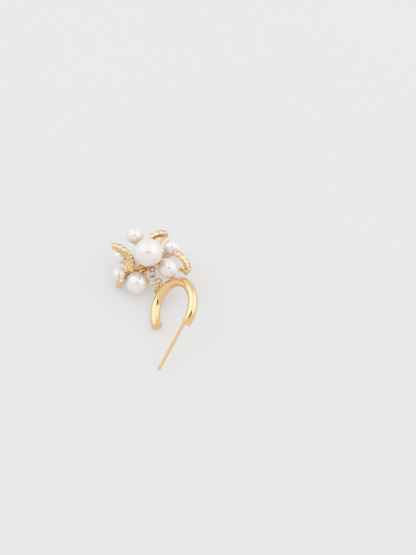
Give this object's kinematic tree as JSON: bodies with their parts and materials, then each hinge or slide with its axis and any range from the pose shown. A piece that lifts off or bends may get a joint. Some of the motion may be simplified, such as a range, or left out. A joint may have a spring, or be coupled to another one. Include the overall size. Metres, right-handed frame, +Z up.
{
  "type": "cluster earring",
  "caption": "Gold hoop earring with a straight ear post and a cluster of pearls and stone-set curved bands linked to the hoop by a jump ring, lying on its side.",
  "frame": {"origin": "on the surface that the earring lies on, under the middle of its bounding box", "axes": "+Y runs from the ear post towards the cluster, along the longest side; +Z is up from the surface, along the shortest side; +X is to the right as the picture shows the earring"},
  "size_m": [0.02, 0.033, 0.0146],
  "materials": {
    "gold": "polished yellow gold plating",
    "pearl": "white pearl lustre with a soft pink overtone",
    "stone": "clear, faceted and polished"
  },
  "bodies": {
    "root": {"ear_hoop": "gold", "jump_ring": "gold", "cluster_frame": "gold", "pearl_top": "pearl", "pearl_upper_left": "pearl", "pearl_upper_right": "pearl", "pearl_right": "pearl", "pearl_front": "pearl", "pearl_left": "pearl", "pearl_lower_left": "pearl", "pearl_under_back": "pearl", "pearl_under_right": "pearl", "stones_left": "stone", "stones_top": "stone", "stones_right": "stone", "stones_front": "stone", "stones_lower": "stone", "stones_back": "stone"}
  },
  "joints": []
}
